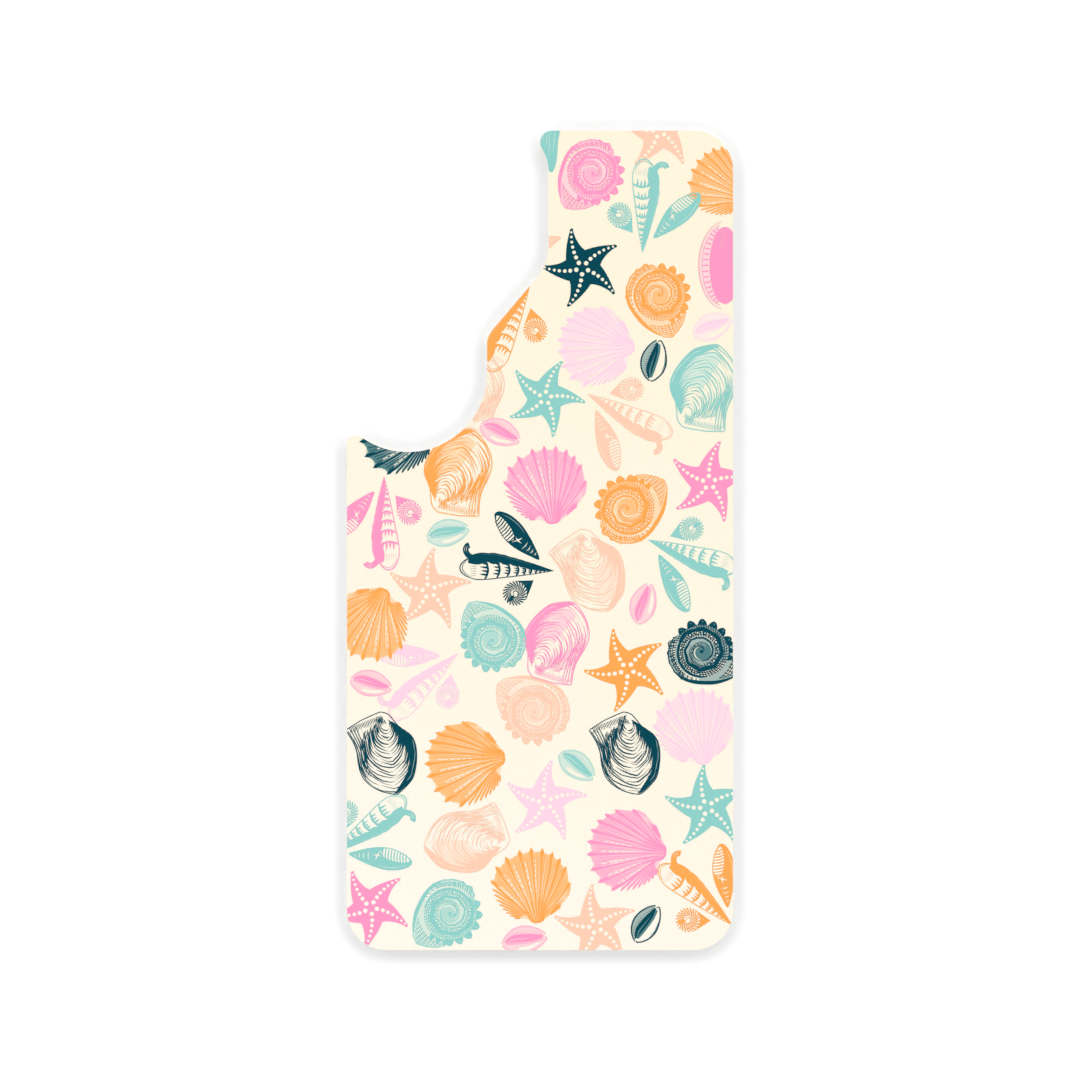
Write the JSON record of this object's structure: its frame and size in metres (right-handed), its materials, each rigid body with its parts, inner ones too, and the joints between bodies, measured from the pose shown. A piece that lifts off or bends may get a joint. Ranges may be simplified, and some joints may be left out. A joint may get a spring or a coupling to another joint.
{
  "type": "phone case insert plate",
  "caption": "Flat printed insert plate for a phone case back, with round corners, a stepped camera notch, an adhesive rear face and a split peel-off liner.",
  "frame": {"origin": "centre of the bottom face of the liner, under the middle of the plate's overall rectangle", "axes": "+Z out of the printed face, +Y towards the top of the phone, so the camera notch is at -X and +Y"},
  "size_m": [0.073, 0.155, 0.0012],
  "materials": {
    "liner_paper": "glazed release paper",
    "liner_paper_right": "glazed release paper",
    "adhesive": "tacky translucent film",
    "plate_plastic": "satin polycarbonate",
    "ground_cream": "satin printed ink",
    "navy": "satin printed ink",
    "teal": "satin printed ink",
    "pink": "satin printed ink",
    "orange": "satin printed ink",
    "peach": "satin printed ink",
    "lilac": "satin printed ink"
  },
  "bodies": {
    "plate": {"base_plate": "plate_plastic", "adhesive_sheet": "adhesive", "ground_ink": "ground_cream", "ink_navy": "navy", "ink_teal": "teal", "ink_pink": "pink", "ink_orange": "orange", "ink_peach": "peach", "ink_lilac": "lilac"},
    "liner_left_half": {"liner_left": "liner_paper"},
    "liner_right_half": {"liner_right": "liner_paper_right"}
  },
  "joints": [
    {"name": "peel_left", "type": "hinge", "parent": "plate", "child": "liner_left_half", "pos_m": [-0.0365, 0, 0.00012], "axis": [0, 1, 0], "range_deg": [0, 180]},
    {"name": "peel_right", "type": "hinge", "parent": "plate", "child": "liner_right_half", "pos_m": [0.0365, 0, 0.00012], "axis": [0, -1, 0], "range_deg": [0, 180]}
  ]
}
